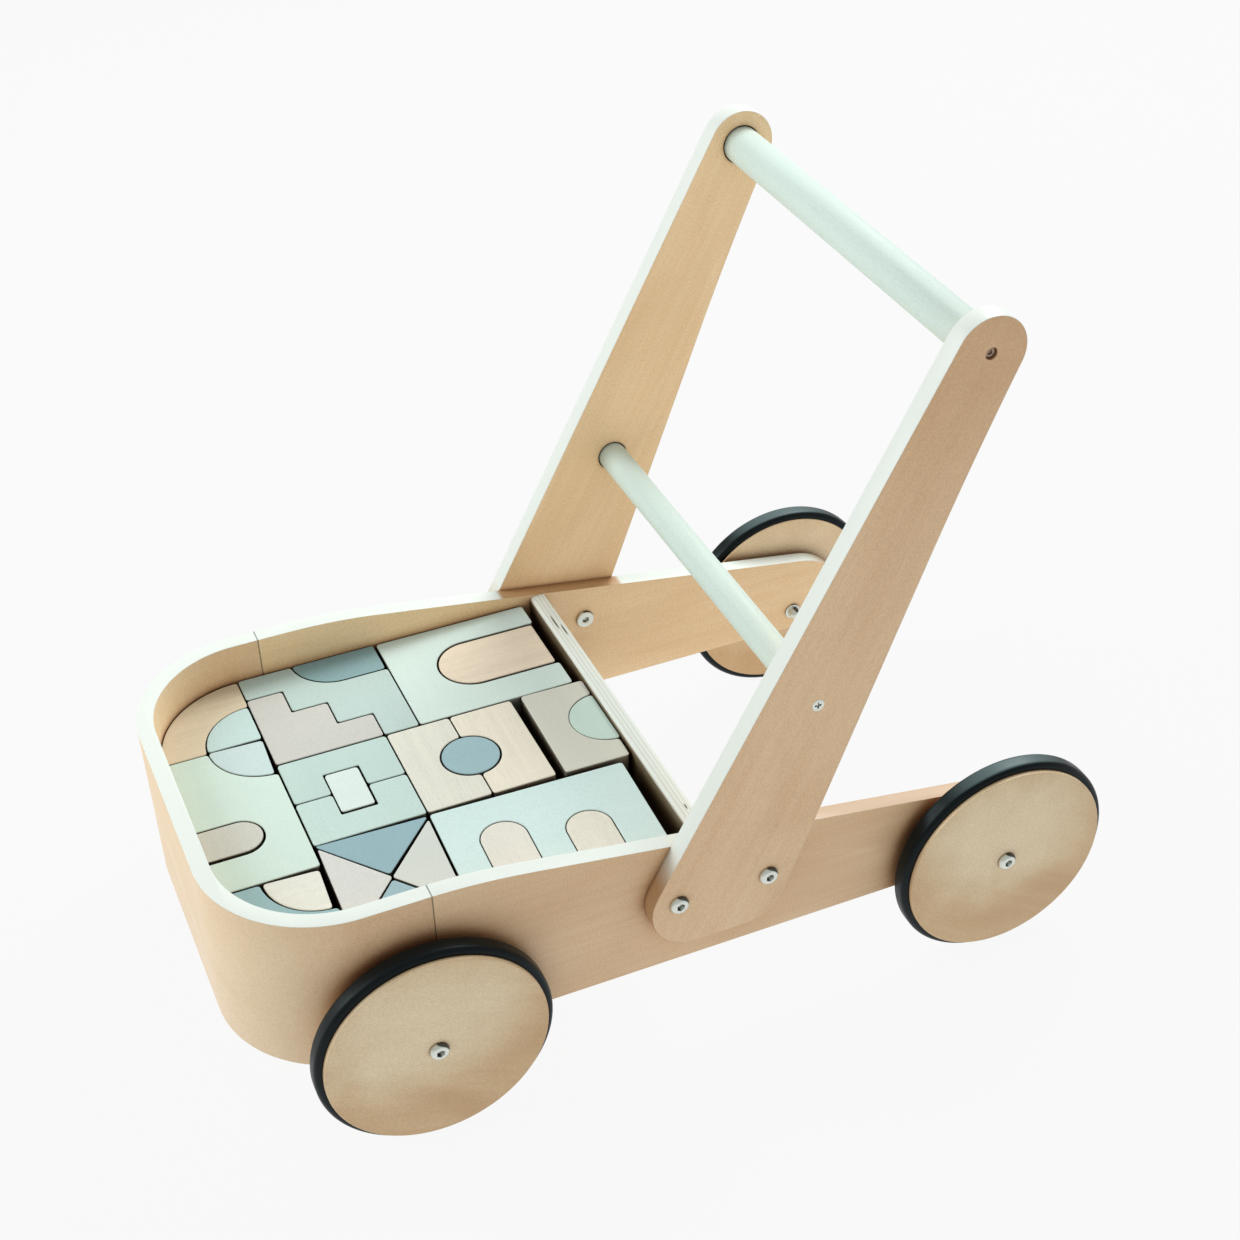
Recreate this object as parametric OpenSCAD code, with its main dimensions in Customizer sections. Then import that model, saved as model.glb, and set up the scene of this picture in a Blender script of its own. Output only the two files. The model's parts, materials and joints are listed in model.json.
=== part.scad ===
// Push-along toddler walker: a plywood tray on four wheels, two leaning posts with a
// push bar, and a load of wooden building blocks that fill the tray.
// Millimetres. +Z is up, the nose of the tray points along -Y and the child walks at +Y.
// The origin is on the floor under the middle of the overall box.

/* [Tray] */
// Inside width of the tray
tray_w = 251; // [251:0.5:254]
// Thickness of the plywood shell, sides and back
ply = 10; // [9:0.5:12]
// Height of the lower edge of the shell and sides above the floor
side_bottom = 55.2; // [52:0.1:60]
// Height of the level upper edge round the nose
nose_top = 162.3; // [158:0.1:166]
// How far the nose reaches in front of the front axle
nose_reach = 100.7; // [100.7:0.1:104]
// Outside plan radius of the two bent nose corners
nose_r = 73; // [60:1:73]
// Where the shell meets the left side, behind the front axle
seam_left = 11; // [8:1:14]
// Where the shell meets the right side, behind the front axle
seam_right = -12.3; // [-16:0.1:-8]
// Front face of the back panel, behind the front axle
back_y = 167.2; // [167.2:0.1:170]
// Height of the back panel's upper edge
back_top = 140.3; // [138:0.1:140.5]
// Thickness of the tray floor
floor_t = 6; // [4:0.5:8]

/* [Sides] */
// Fall of the side's upper edge, per millimetre towards the rear
top_slope = 0.158; // [0.14:0.001:0.17]
// Radius of the soft bend in the side's upper edge
top_bend_r = 365; // [300:5:400]
// Radius of the rear end of the side, about the rear axle
arm_end_r = 41; // [38:0.5:43]

/* [Wheels] */
// Distance between the front and the rear axle
wheelbase = 362; // [355:1:370]
// Radius of the plywood wheel disc
wheel_r = 65; // [60:0.5:66]
// Thickness of the plywood wheel disc
wheel_t = 16; // [15.4:0.1:17]
// Outside radius of the rubber tyre
tyre_r = 69.5; // [68:0.5:70]
// Width of the rubber tyre
tyre_w = 12; // [10:0.5:12]
// Diameter of the wheel bolt's shank
axle_d = 6; // [5:0.5:8]

/* [Handle] */
// Thickness of the two posts
post_t = 12; // [10:0.5:14]
// Radius of the posts' round top
post_head_r = 20.7; // [18:0.1:22]
// Radius of the posts' lower corners
post_foot_r = 27.5; // [24:0.5:28]
// Diameter of the push bar
handle_d = 22.4; // [20:0.2:26]
// Diameter of the lower cross bar
cross_d = 18; // [15:0.5:20]

/* [Blocks] */
// Thickness of every building block
block_h = 40; // [30:1:40]

/* [Hidden] */
$fn = 96;

birch = "burlywood";
mint = "#cfe6dc";
green = "#dcefd8";
ice = "#d3e8e4";
taupe = "#d6d4cc";
slate = "#9bbec2";
cream = "#ece4d8";
peach = "#ddc0a4";
steel = "silver";

// Frame: y is measured from the front axle until a sub-part is placed.
front_y = -(wheelbase + tyre_r - nose_reach) / 2;
axle_z = tyre_r;
side_in = tray_w / 2;
side_out = side_in + ply;
post_out = side_out + post_t;
over = 1;                // how far a cut runs past the face that it starts from
slack = 0.1;             // play round a glued or screwed piece
fit = 0.05;              // radial running clearance of a wheel on its bolt
gap = 0.8;               // usual gap between two neighbouring blocks
insert_play = 0.6;       // all round a block that fills the slot of another block

// Tray floor, let into a groove all round
groove = 4;
floor_top = 95.9;
floor_z = floor_top - floor_t;

// Side panel: level part, bend and sloping part of the upper edge
slope_a = atan(top_slope);
axle_rise = arm_end_r / cos(slope_a);
bend_y = wheelbase - (nose_top - axle_z - axle_rise) / top_slope;
bend_t = top_bend_r * tan(slope_a / 2);

// Post: two foot circles and one head circle, joined by tangents
foot_z = 106;
foot_front = [160.5, foot_z];
foot_rear = [190.5, foot_z];
head = [321.9, 419.6];
rear_slope_a = 21;       // lean of the straight part of the rear edge, from vertical
flare_z = 301.5;           // height at which the rear edge starts to curve out to the head

// Bars, their sockets in the posts and their screws
cross_at = [232.9, 225.8];
socket = 6;              // depth of the blind sockets
socket_play = 1.2;       // how much wider than the bar a socket is
screw_d = 4;
screw_len = 32;
handle_recess_d = 6.8;   // recess of the handle screws in the posts' outer faces
handle_recess = 3.6;
handle_head_h = 2;
handle_key_d = 3;
cross_head_d = 7.5;
cross_slot = [1, 4];     // width and length of the slots in a cross-bar screw

// Bolts
head_d = 11.5;
head_h = 3.2;
key_d = 4.4;
key_depth = 2;
sleeve_d = 12;           // sleeve nuts, on the posts' bolts
sleeve_h = 2;
cap_flange_d = 11;       // cap nuts, on the wheel bolts
cap_flange = 1.5;
cap_d = 7.5;
cap_wall = 2;            // straight length of the cap behind its dome
nut_wall = 1;            // metal left at the end of a nut
bolt_front = [149.3, 111];
bolt_rear = [205.3, 111.5];
nut_recess = 2.2;

// Wheels
spacer_t = 5.1;
spacer_d = 14;
wheel_gap = 0.3;
wheel_in = side_out + spacer_t + wheel_gap;
wheel_out = wheel_in + wheel_t;
tyre_seat = 3;           // depth of the groove that holds the tyre
tyre_play = 0.2;         // between the floor of the groove and the tyre
tyre_x = 0.9;            // from the disc's inner face to the tyre
tyre_round = 3.2;

dowel_d = 6;
dowel_len = 30;
dowel_z = [111.5, 143.5];
back_dowel_z = [73.5, 123.5];
back_dowel_in = 7;       // depth of the back dowels in the sides

// ---------------------------------------------------------------- helpers

// Points of an arc about c from angle a0 to a1, in n steps
function arc(c, r, a0, a1, n = 24) =
    [for (i = [0:n]) let (a = a0 + (a1 - a0) * i / n) c + r * [cos(a), sin(a)]];
function reverse(list) = [for (i = [len(list) - 1:-1:0]) list[i]];
function angle_of(v) = atan2(v[1], v[0]);
function perp(v) = [-v[1], v[0]];
// Unit normal of the outer tangent of two circles, on the side given by side = 1 or -1
function tangent_n(c1, r1, c2, r2, side) =
    let (d = c2 - c1, len = norm(d), k = (r1 - r2) / len)
    k * d / len + side * sqrt(1 - k * k) * perp(d) / len;

module at_front_axle() translate([0, front_y, 0]) children();

// A side view in (y, z), given thickness towards +X from x0
module slab(x0, t)
    at_front_axle() translate([x0, 0, 0]) rotate([90, 0, 90]) linear_extrude(t) children();

// A cylinder along X from x0 to x1, about the side-view point p
module rod_x(p, x0, x1, d)
    at_front_axle() translate([min(x0, x1), p[0], p[1]]) rotate([0, 90, 0])
        cylinder(d = d, h = abs(x1 - x0));

// Mirrors its children to the right side when side is -1
module on_side(side) mirror([side < 0 ? 1 : 0, 0, 0]) children();

module both_sides() for (side = [1, -1]) on_side(side) children();

// ---------------------------------------------------------------- tray

// Plan of the rounded nose, from its right flank round to its left flank
function nose_path(half_w, reach, r) = concat(
    arc([r - half_w, r - reach], r, 180, 270), arc([half_w - r, r - reach], r, 270, 360));

module shell_outline() polygon(concat(
    [[-side_out, seam_right]], nose_path(side_out, nose_reach, nose_r),
    [[side_out, seam_left], [side_in, seam_left]],
    reverse(nose_path(side_in, nose_reach - ply, nose_r - ply)), [[-side_in, seam_right]]));

module floor_outline(grow) {
    half_w = side_in + grow;
    rear = back_y + grow;
    polygon(concat([[-half_w, rear]],
        nose_path(half_w, nose_reach - ply + grow, nose_r - ply + grow), [[half_w, rear]]));
}

module floor_slot() at_front_axle() translate([0, 0, floor_z - slack])
    linear_extrude(floor_t + 2 * slack) floor_outline(groove + slack);

module axle_holes() for (y = [0, wheelbase])
    both_sides() rod_x([y, axle_z], side_in - over, side_out + over, axle_d);

// Dowels across both seams, or with grow the holes for them
module seam_pegs(grow = 0) for (z = dowel_z) at_front_axle() {
    translate([side_in + ply / 2, seam_left, z]) dowel(dowel_d + grow / 2, dowel_len + grow);
    translate([-side_in - ply / 2, seam_right, z]) dowel(dowel_d + grow / 2, dowel_len + grow);
}

// A dowel along Y, centred
module dowel(d, len) rotate([90, 0, 0]) cylinder(d = d, h = len, center = true);

module front_shell() color(birch) difference() {
    at_front_axle() translate([0, 0, side_bottom]) linear_extrude(nose_top - side_bottom)
        shell_outline();
    floor_slot();
    axle_holes();
    seam_pegs(2 * slack);
}

// Side view of a side panel whose front end is at seam
module side_profile(seam) {
    bend_in = bend_y - bend_t;
    top = [for (p = arc([bend_in, nose_top - top_bend_r], top_bend_r, 90, 90 - slope_a, 8))
        if (p[0] > seam) p];
    end_a = asin((side_bottom - axle_z) / arm_end_r);
    polygon(concat(
        [[seam, side_bottom], [seam, nose_top]], top,
        arc([wheelbase, axle_z], arm_end_r, 90 - slope_a, end_a)));
}

module side_panel(side) on_side(side) difference() {
    slab(side_in, ply) side_profile(side > 0 ? seam_left : seam_right);
    on_side(side) floor_slot();
    on_side(side) axle_holes();
    on_side(side) seam_pegs(2 * slack);
    post_bolt_holes();
    rod_x(bolt_front, side_in - over, side_in + nut_recess, sleeve_d + 6 * slack);
    back_pegs(2 * slack);
}

module side_panel_left() color(birch) side_panel(1);
module side_panel_right() color(birch) side_panel(-1);

module back_panel() color(birch) difference() {
    edge_r = 3;
    slab(-side_in, tray_w) polygon(concat(
        [[back_y, side_bottom]], arc([back_y + edge_r, back_top - edge_r], edge_r, 180, 90, 8),
        [[back_y + ply, back_top], [back_y + ply, side_bottom]]));
    floor_slot();
    both_sides() back_pegs(2 * slack);
}

// Dowels from the left side into the back panel, or with grow the holes for them
module back_pegs(grow = 0) {
    end = side_in + back_dowel_in;
    for (z = back_dowel_z)
        rod_x([back_y + ply / 2, z], end + grow / 2, end - dowel_len - grow / 2,
              dowel_d + grow / 2);
}

module tray_floor() color(birch) at_front_axle() translate([0, 0, floor_z])
    linear_extrude(floor_t) floor_outline(groove);

// ---------------------------------------------------------------- handle

module post_profile() {
    front_n = tangent_n(foot_front, post_foot_r, head, post_head_r, 1);
    rear_u = [sin(rear_slope_a), cos(rear_slope_a)];
    rear_n = [rear_u[1], -rear_u[0]];
    foot_edge = foot_rear + post_foot_r * rear_n;
    flare = foot_edge + rear_u * (flare_z - foot_edge[1]) / rear_u[1];
    // The flare is an arc that leaves the straight edge and joins the head smoothly
    along = (head - flare) * rear_u;
    inside = -(head - flare) * rear_n;
    flare_r = (along * along + inside * inside - post_head_r * post_head_r)
        / (2 * (post_head_r - inside));
    flare_c = flare + flare_r * rear_n;
    front_a = angle_of(front_n);
    join_a = angle_of(flare_c - head);
    polygon(concat(
        arc(foot_front, post_foot_r, 270, front_a), arc(head, post_head_r, front_a, join_a, 40),
        arc(flare_c, flare_r, 180 + join_a, 180 - rear_slope_a, 16),
        arc(foot_rear, post_foot_r, -rear_slope_a, -90)));
}

module post_bolt_holes() for (p = [bolt_front, bolt_rear])
    rod_x(p, side_in - over, post_out + over, axle_d);

module handle_post(side) on_side(side) difference() {
    slab(side_out, post_t) post_profile();
    post_bolt_holes();
    rod_x(head, side_out - over, side_out + socket, handle_d + socket_play);
    rod_x(head, side_out, post_out + over, screw_d);
    rod_x(head, post_out - handle_recess, post_out + over, handle_recess_d);
    rod_x(cross_at, side_out - over, side_out + socket, cross_d + socket_play);
    rod_x(cross_at, side_out, post_out + over, screw_d);
    cross_countersink();
}

module cross_countersink() rod_x_cone(cross_at, post_out, screw_d, cross_head_d);

// A countersunk seat: a cone that opens from d0 to d1 as it reaches x1
module rod_x_cone(p, x1, d0, d1) at_front_axle()
    translate([x1 - (d1 - d0) / 2, p[0], p[1]]) rotate([0, 90, 0])
        cylinder(d1 = d0, d2 = d1, h = (d1 - d0) / 2);

module handle_post_left() color(birch) handle_post(1);
module handle_post_right() color(birch) handle_post(-1);

module bar(p, d) difference() {
    end = side_out + socket - slack;
    rod_x(p, -end, end, d);
    both_sides() rod_x(p, post_out - screw_len, end + over, screw_d);
}

module handle_bar() color(mint) bar(head, handle_d);
module cross_bar() color(mint) bar(cross_at, cross_d);

// ---------------------------------------------------------------- wheels

module wheel_at(side, y) on_side(side) at_front_axle()
    translate([wheel_in, y, axle_z]) rotate([0, 90, 0]) children();

module wheel_disc() difference() {
    cylinder(r = wheel_r, h = wheel_t);
    translate([0, 0, -over]) cylinder(d = axle_d + 2 * fit, h = wheel_t + 2 * over);
    translate([0, 0, tyre_x]) difference() {
        cylinder(r = wheel_r + over, h = tyre_w);
        cylinder(r = wheel_r - tyre_seat, h = tyre_w);
    }
}

module tyre() translate([0, 0, tyre_x]) rotate_extrude() {
    flank = tyre_r - tyre_round;
    inside = wheel_r - tyre_seat + tyre_play;
    polygon(concat(
        [[inside, 0]], arc([flank, tyre_round], tyre_round, -90, 0),
        arc([flank, tyre_w - tyre_round], tyre_round, 0, 90), [[inside, tyre_w]]));
}

module wheel_front_left() color(birch) wheel_at(1, 0) wheel_disc();
module wheel_front_right() color(birch) wheel_at(-1, 0) wheel_disc();
module wheel_rear_left() color(birch) wheel_at(1, wheelbase) wheel_disc();
module wheel_rear_right() color(birch) wheel_at(-1, wheelbase) wheel_disc();
module tyre_front_left() color("black") wheel_at(1, 0) tyre();
module tyre_front_right() color("black") wheel_at(-1, 0) tyre();
module tyre_rear_left() color("black") wheel_at(1, wheelbase) tyre();
module tyre_rear_right() color("black") wheel_at(-1, wheelbase) tyre();

// ---------------------------------------------------------------- fasteners

// A domed head on the plane z = 0 with a hexagon socket, for a bolt along -Z
module dome_head() {
    dome_r = (head_h * head_h + head_d * head_d / 4) / (2 * head_h);
    difference() {
        intersection() {
            cylinder(d = head_d, h = head_h);
            translate([0, 0, head_h - dome_r]) sphere(dome_r);
        }
        translate([0, 0, head_h - key_depth]) cylinder(d = key_d, h = key_depth + over, $fn = 6);
    }
}

module bolt(p, x_head, x_end) {
    at_front_axle() translate([x_head, p[0], p[1]]) rotate([0, 90, 0]) dome_head();
    rod_x(p, x_end, x_head, axle_d);
}

// A flanged cap nut on the inner face, with a small dome towards the middle
module cap_nut(p, x_face) at_front_axle() translate([x_face, p[0], p[1]])
    rotate([0, -90, 0]) rotate_extrude() {
        neck = cap_flange + cap_wall;
        polygon(concat(
            [[axle_d / 2, 0], [cap_flange_d / 2, 0], [cap_flange_d / 2, cap_flange],
             [cap_d / 2, cap_flange]],
            arc([0, neck], cap_d / 2, 0, 90),
            [[0, neck - nut_wall], [axle_d / 2, neck - nut_wall]]));
    }

// A sleeve nut: a flat flange with a hexagon socket
module sleeve_nut(p, x_face) at_front_axle() translate([x_face, p[0], p[1]])
    rotate([0, -90, 0]) difference() {
        cylinder(d = sleeve_d, h = sleeve_h);
        translate([0, 0, nut_wall]) cylinder(d = key_d, h = sleeve_h, $fn = 6);
    }

module axle_bolts() color(steel) for (y = [0, wheelbase])
    both_sides() bolt([y, axle_z], wheel_out + wheel_gap, side_in - cap_flange);

module axle_nuts() color(steel) for (y = [0, wheelbase])
    both_sides() cap_nut([y, axle_z], side_in);

module axle_spacers() color(steel) for (y = [0, wheelbase]) both_sides() difference() {
    rod_x([y, axle_z], side_out, side_out + spacer_t, spacer_d);
    rod_x([y, axle_z], side_out - over, side_out + spacer_t + over, axle_d);
}

module post_bolts() color(steel) both_sides() {
    bolt(bolt_front, post_out, side_in + nut_recess);
    bolt(bolt_rear, post_out, side_in);
}

module post_nuts() color(steel) both_sides() {
    sleeve_nut(bolt_front, side_in + nut_recess);
    sleeve_nut(bolt_rear, side_in);
}

module screw_shank(p, x_head) rod_x(p, post_out - screw_len, x_head, screw_d);

module handle_screws() color("dimgray") both_sides() {
    seat = post_out - handle_recess;
    screw_shank(head, seat);
    difference() {
        rod_x(head, seat, seat + handle_head_h, handle_recess_d - 2 * slack);
        at_front_axle() translate([seat + handle_head_h / 2, head[0], head[1]])
            rotate([0, 90, 0]) cylinder(d = handle_key_d, h = handle_head_h, $fn = 6);
    }
}

module cross_bar_screws() color(steel) both_sides() {
    screw_shank(cross_at, post_out - (cross_head_d - screw_d) / 2);
    difference() {
        cross_countersink();
        for (turn = [0, 90]) at_front_axle()
            translate([post_out, cross_at[0], cross_at[1]]) rotate([turn, 0, 0])
                cube([2 * cross_slot[0], cross_slot[0], cross_slot[1]], center = true);
    }
}

module seam_dowels() color(birch) seam_pegs();
module back_dowels() color(birch) both_sides() back_pegs();

// ---------------------------------------------------------------- blocks
// The blocks stand in three columns and, in the left column, two squares behind the
// front row. Plan positions are measured from the front axle and the centre line.

block_play = 0.2;              // between the tray floor and the blocks
block_z = floor_top + block_play;
left_x = -side_in + 1.3;       // left column, against the right-hand wall
left_end = -36;
mid_x = -34.8;                 // middle column
mid_end = 42.1;
mid_c = (mid_x + mid_end) / 2;
front_row = -90.1;             // first row, behind the nose
front_row_end = -30.3;
row2 = -29.1;
row2_end = 38.3;
left_row2_end = 60.3;

// Front row
arch_c = [-63, -29.9];
arch_r = 60.2;
arch_in = 34.2;
quarter_r = 32.7;
mint_quarter_c = arch_c + [-1, -0.4];
ice_quarter_c = arch_c + [1.1, -0.6];
ice_quarter_turn = 267.4;
slate_arch_c = [60.2, -31.2];
slate_arch_r = 59;
slate_arch_in = 34.7;
cream_quarter_c = [62, -32.1];
cream_quarter_r = 32.1;
cream_quarter_turn = 266.7;
bridge_x = -62.3;
bridge_end = 58.8;
notch_r = 33.9;
notch_c = arch_c + [1, 0];
slot_c = 17.8;
slot_w = 29.7;
slot_reach = 39.1;
taupe_tongue_w = 26;
taupe_tongue_c = 17;

// Left column
stair_step = 22.2;
stair_rise = 22.3;
corner_block_y = 5.9;
corner_block_r = 26.8;
corner_block_end = 59.1;
corner_block_c = [left_x - 1, corner_block_y + corner_block_r];
bridge2_y = 61.2;
bridge2_end = 161;
bridge2_c = -81.2;
bridge2_slot_w = 46;
bridge2_slot_y = 88.7;
peach_tongue_w = 42.4;
peach_tongue_end = 159.2;

// Middle column
window = [-15.4, -6.9, 22.8, 15.4];       // x0, y0, x1, y1 of the hole in the channel pair
brick = [-14.5, -6.1, 20.9, 14.2];
saddle_y = 39.2;
saddle_end = 118.7;
saddle_hole_d = 37;
saddle_hole_c = [4.25, 78.95];
cylinder_d = 34.8;
cylinder_c = [4.05, 78.95];
taupe_bridge_c = [3.9, 145.6];
taupe_bridge_size = [78.2, 40.8];
taupe_bridge_turn = -1;
half_hole_d = 46.6;
half_disc_d = 45;
half_disc_end = back_y - 0.5;  // its flat face, in front of the back panel

// Square of four wedges: middle of the base, turn, and [base, height]
wedge_left = [[43.9, 4.2], -92, [67, 38]];
wedge_front = [[83.6, -29.2], -1.5, [76.5, 32.6]];
wedge_rear = [[85.8, 36], 178.2, [76, 32.6]];
wedge_right = [[124.3, 2.2], 89, [64, 37.6]];
wedge_blunt = 1.2;             // flat at the two ends of the base
wedge_tip = 0.8;               // half the width of the flat at the point

// Right column
double_bridge_size = [77, 119.2];
double_bridge_c = [84.5, 97.4];
double_bridge_turn = -1.7;
arch_slots = [[-26.1, 55.8, 28.6], [21.9, 45.6, 28.2]];  // offset along, depth, width

module block() at_front_axle() translate([0, 0, block_z])
    linear_extrude(block_h) children();

// A quarter disc in the quadrant +x +y
module quarter_disc(r) intersection() {
    circle(r);
    square(r + over);
}

module quarter_arch(r_out, r_in) difference() {
    quarter_disc(r_out);
    circle(r_in);
}

// A straight tongue from y = 0 with a round end at y = len
module tongue(w, len) {
    translate([-w / 2, 0]) square([w, len - w / 2]);
    translate([0, len - w / 2]) circle(w / 2);
}

// A triangular block with its three tips blunted, placed by one of the wedge lists
module wedge(placing) {
    half = placing[2][0] / 2;
    h = placing[2][1];
    k = h / half;
    end = half - wedge_blunt;
    block() translate(placing[0]) rotate(placing[1]) polygon([
        [-end, 0], [end, 0], [end, wedge_blunt * k], [wedge_tip, h - wedge_tip * k],
        [-wedge_tip, h - wedge_tip * k], [-end, wedge_blunt * k]]);
}

// Three steps that rise towards +x, grown by g on the stepped side and by over elsewhere
module stairs(g = 0, over = 0) for (i = [0:2])
    translate([left_end - (3 - i) * stair_step - g, row2 - over])
        square([(3 - i) * stair_step + g + over, (i + 1) * stair_rise + g + over]);

// Upright block with one long round corner, grown by g where it meets its neighbour
module corner_block(g = 0, over = 0) {
    r = corner_block_r + g;
    intersection() {
        translate(corner_block_c) circle(r);
        translate([left_x - over, corner_block_y - g]) square([2 * r, r]);
    }
    box([left_x - over, corner_block_c[1], corner_block_c[0] + r, corner_block_end + over]);
}

module box(b) translate([b[0], b[1]]) square([b[2] - b[0], b[3] - b[1]]);

module block_quarter_arch_peach() color(peach) block()
    translate(arch_c) rotate(180) quarter_arch(arch_r, arch_in);

module block_quarter_disc_mint() color(mint) block()
    translate(mint_quarter_c) rotate(180) quarter_disc(quarter_r);

module block_quarter_disc_ice() color(ice) block()
    translate(ice_quarter_c) rotate(ice_quarter_turn) quarter_disc(quarter_r);

module block_bridge_green() color(green) block() difference() {
    box([bridge_x, front_row, bridge_end, front_row_end]);
    translate(notch_c) circle(notch_r);
    translate([slot_c, front_row - over]) tongue(slot_w, slot_reach + over);
}

module block_tongue_taupe() color(taupe) block()
    translate([taupe_tongue_c, front_row])
        tongue(taupe_tongue_w, slot_reach - 2 * insert_play);

module block_quarter_arch_slate() color(slate) block()
    translate(slate_arch_c) rotate(270) quarter_arch(slate_arch_r, slate_arch_in);

module block_quarter_disc_cream() color(cream) block()
    translate(cream_quarter_c) rotate(cream_quarter_turn) quarter_disc(cream_quarter_r);

module block_stair_cradle_mint() color(mint) block() difference() {
    box([left_x, row2, left_end, left_row2_end]);
    stairs(gap, 1);
    corner_block(gap, 2);
}

module block_round_corner_slate() color(slate) block() corner_block();

module block_stairs_taupe() color(taupe) block() stairs();

module channel(x0, x1) difference() {
    box([x0, row2, x1, row2_end]);
    box(window);
}

module block_channel_left() color(mint) block() channel(mid_x, mid_c - gap / 2);
module block_channel_right() color(mint) block() channel(mid_c + gap / 2, mid_end);

module block_brick_ice() color(ice) block() box(brick);

module block_wedge_left() color(slate) wedge(wedge_left);
module block_wedge_front() color(taupe) wedge(wedge_front);
module block_wedge_rear() color(taupe) wedge(wedge_rear);
module block_wedge_right() color(slate) wedge(wedge_right);

module block_bridge_mint() color(green) block() difference() {
    box([left_x, bridge2_y, left_end, bridge2_end]);
    translate([bridge2_c, bridge2_end + over]) rotate(180)
        tongue(bridge2_slot_w, bridge2_end + over - bridge2_slot_y);
}

module block_tongue_peach() color(peach) block()
    translate([bridge2_c, peach_tongue_end]) rotate(180)
        tongue(peach_tongue_w, peach_tongue_end - bridge2_slot_y - 2 * insert_play);

module saddle(y0, y1) difference() {
    box([mid_x, y0, mid_end, y1]);
    translate(saddle_hole_c) circle(d = saddle_hole_d);
}

module block_saddle_front() color(cream) block()
    saddle(saddle_y, (saddle_y + saddle_end - gap) / 2);
module block_saddle_rear() color(cream) block()
    saddle((saddle_y + saddle_end + gap) / 2, saddle_end);

module block_cylinder_slate() color(slate) block()
    translate(cylinder_c) circle(d = cylinder_d);

module block_bridge_taupe() color(taupe) block() difference() {
    translate(taupe_bridge_c) rotate(taupe_bridge_turn)
        square(taupe_bridge_size, center = true);
    translate([mid_c, back_y]) circle(d = half_hole_d);
}

module block_half_disc_mint() color(mint) block() intersection() {
    translate([mid_c, half_disc_end]) circle(d = half_disc_d);
    translate([mid_c - half_disc_d, half_disc_end - half_disc_d])
        square([2 * half_disc_d, half_disc_d]);
}

// Places its children in the turned frame of the double bridge, with x = 0 on the side
// that its arches open to
module double_bridge_frame() translate(double_bridge_c) rotate(double_bridge_turn)
    translate([double_bridge_size[0] / 2, 0]) children();

module block_double_bridge_ice() color(ice) block() double_bridge_frame() difference() {
    translate([-double_bridge_size[0], -double_bridge_size[1] / 2]) square(double_bridge_size);
    for (s = arch_slots) translate([over, s[0]]) rotate(90) tongue(s[2], s[1] + over);
}

module arch_insert(s) double_bridge_frame() translate([-insert_play, s[0]]) rotate(90)
    tongue(s[2] - 2 * insert_play, s[1] - 2 * insert_play);

module block_arch_front_cream() color(cream) block() arch_insert(arch_slots[0]);
module block_arch_rear_cream() color(cream) block() arch_insert(arch_slots[1]);

// ---------------------------------------------------------------- nodes

front_shell();
side_panel_left();
side_panel_right();
back_panel();
tray_floor();
handle_post_left();
handle_post_right();
handle_bar();
cross_bar();
wheel_front_left();
wheel_front_right();
wheel_rear_left();
wheel_rear_right();
tyre_front_left();
tyre_front_right();
tyre_rear_left();
tyre_rear_right();
axle_bolts();
axle_nuts();
axle_spacers();
post_bolts();
post_nuts();
handle_screws();
cross_bar_screws();
seam_dowels();
back_dowels();
block_quarter_arch_peach();
block_quarter_disc_mint();
block_quarter_disc_ice();
block_bridge_green();
block_tongue_taupe();
block_quarter_arch_slate();
block_quarter_disc_cream();
block_stair_cradle_mint();
block_round_corner_slate();
block_stairs_taupe();
block_channel_left();
block_channel_right();
block_brick_ice();
block_wedge_left();
block_wedge_front();
block_wedge_rear();
block_wedge_right();
block_bridge_mint();
block_tongue_peach();
block_saddle_front();
block_saddle_rear();
block_cylinder_slate();
block_bridge_taupe();
block_half_disc_mint();
block_double_bridge_ice();
block_arch_front_cream();
block_arch_rear_cream();
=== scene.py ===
"""Toddler push walker with a tray of building blocks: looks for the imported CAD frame.

Metres, in the CAD frame: +Z up, the nose of the tray points along -Y, +X is the child's left.
"""
import json
import math

import bmesh
import bpy
from mathutils import Matrix, Vector


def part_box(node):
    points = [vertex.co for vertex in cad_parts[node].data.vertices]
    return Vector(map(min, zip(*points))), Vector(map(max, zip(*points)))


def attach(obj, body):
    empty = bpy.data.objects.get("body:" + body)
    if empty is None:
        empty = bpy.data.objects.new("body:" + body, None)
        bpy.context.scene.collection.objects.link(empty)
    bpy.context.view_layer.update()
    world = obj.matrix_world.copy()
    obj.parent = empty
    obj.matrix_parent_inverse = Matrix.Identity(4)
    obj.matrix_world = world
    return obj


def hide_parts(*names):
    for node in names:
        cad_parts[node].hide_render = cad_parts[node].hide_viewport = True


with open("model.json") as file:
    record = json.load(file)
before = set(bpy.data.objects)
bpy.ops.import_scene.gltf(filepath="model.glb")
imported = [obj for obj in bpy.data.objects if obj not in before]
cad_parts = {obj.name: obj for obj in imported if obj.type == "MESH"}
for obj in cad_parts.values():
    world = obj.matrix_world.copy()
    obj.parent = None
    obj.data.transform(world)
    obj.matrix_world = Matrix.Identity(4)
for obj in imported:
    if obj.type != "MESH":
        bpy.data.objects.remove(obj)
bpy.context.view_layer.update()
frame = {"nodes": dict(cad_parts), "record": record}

MM = 0.001
SCENE = bpy.context.scene
RECORD = frame["record"]
NODE_BODY = {n: b for b, nodes in RECORD["behaviour"]["bodies"].items() for n in nodes}


def srgb(r, g, b):
    """Linear colour of an 8-bit sRGB one."""
    def linear(c):
        c /= 255
        return c / 12.92 if c <= 0.04045 else ((c + 0.055) / 1.055) ** 2.4
    return (linear(r), linear(g), linear(b), 1.0)


# ---------------------------------------------------------------- material graph

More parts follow.
